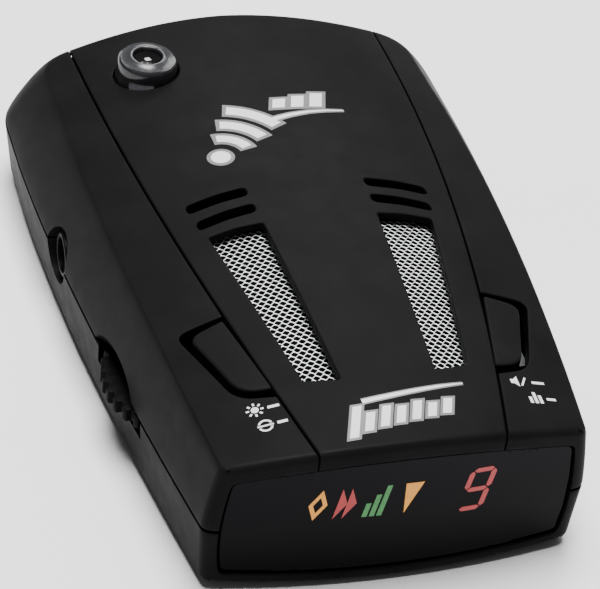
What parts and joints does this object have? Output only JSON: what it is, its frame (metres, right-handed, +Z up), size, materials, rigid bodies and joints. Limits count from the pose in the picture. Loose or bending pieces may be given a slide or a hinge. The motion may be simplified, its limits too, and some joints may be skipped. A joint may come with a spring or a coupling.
{
  "type": "radar detector",
  "caption": "Compact windshield radar and laser detector: black crowned casing, smoked display face, speaker grilles, press keys, thumb wheel, power inlet and clear laser lens.",
  "frame": {"origin": "middle of the footprint, on the surface that the rubber feet stand on", "axes": "+X to the right seen from the display, +Y along the casing from the display face to the road end, +Z up through the crowned top"},
  "size_m": [0.073, 0.106, 0.0274],
  "materials": {
    "casing_black": "fine matte texture",
    "key_black": "satin",
    "wheel_black": "satin",
    "jack_black": "satin",
    "window_smoked": "glossy",
    "road_window_smoked": "glossy",
    "lens_clear": "glossy",
    "mesh_steel": "satin woven wire",
    "bright_steel": "satin",
    "screw_steel": "satin",
    "cast_metal": "as cast",
    "board_green": "satin solder mask",
    "dark_part": "satin",
    "lamp_amber": "lit",
    "lamp_red": "lit",
    "lamp_green": "lit",
    "print_grey": "pad print",
    "print_shade": "pad print",
    "paper_cone": "matt",
    "foot_rubber": "matt"
  },
  "bodies": {
    "housing": {"lower_case": "casing_black", "upper_case": "casing_black", "centre_panel": "casing_black", "display_window": "window_smoked", "rear_window": "road_window_smoked", "laser_lens": "lens_clear", "laser_sensor": "dark_part", "grille_left": "mesh_steel", "switch_left": "dark_part", "key_board_left": "board_green", "grille_right": "mesh_steel", "switch_right": "dark_part", "key_board_right": "board_green", "volume_pot": "bright_steel", "dc_jack": "jack_black", "dc_jack_pin": "bright_steel", "main_board": "board_green", "display_board": "board_green", "digit_module": "lamp_red", "band_lamp_1": "lamp_amber", "band_lamp_2": "lamp_red", "band_lamp_3": "lamp_green", "band_lamp_4": "lamp_amber", "horn_antenna": "cast_metal", "mixer_can": "bright_steel", "processor_chip": "dark_part", "speaker_frame": "bright_steel", "speaker_cone": "paper_cone", "speaker_magnet": "bright_steel", "case_screw_1": "screw_steel", "case_screw_2": "screw_steel", "case_screw_3": "screw_steel", "case_screw_4": "screw_steel", "board_screw_1": "screw_steel", "board_screw_2": "screw_steel", "board_screw_3": "screw_steel", "rubber_foot_1": "foot_rubber", "rubber_foot_2": "foot_rubber", "rubber_foot_3": "foot_rubber", "rubber_foot_4": "foot_rubber"},
    "key_left": {"button_left": "key_black"},
    "key_right": {"button_right": "key_black"},
    "volume": {"volume_wheel": "wheel_black"}
  },
  "joints": [
    {"name": "key_left_press", "type": "slide", "parent": "housing", "child": "key_left", "axis": [0, 0, -1], "range_m": [0, 0.0006], "stiffness_N_per_m": 1500, "springref_m": -0.0003},
    {"name": "key_right_press", "type": "slide", "parent": "housing", "child": "key_right", "axis": [0, 0, -1], "range_m": [0, 0.0006], "stiffness_N_per_m": 1500, "springref_m": -0.0003},
    {"name": "volume_turn", "type": "hinge", "parent": "housing", "child": "volume", "pos_m": [-0.0211, -0.0181, 0.0096], "axis": [0, 0, 1], "range_deg": [-135, 135]}
  ]
}
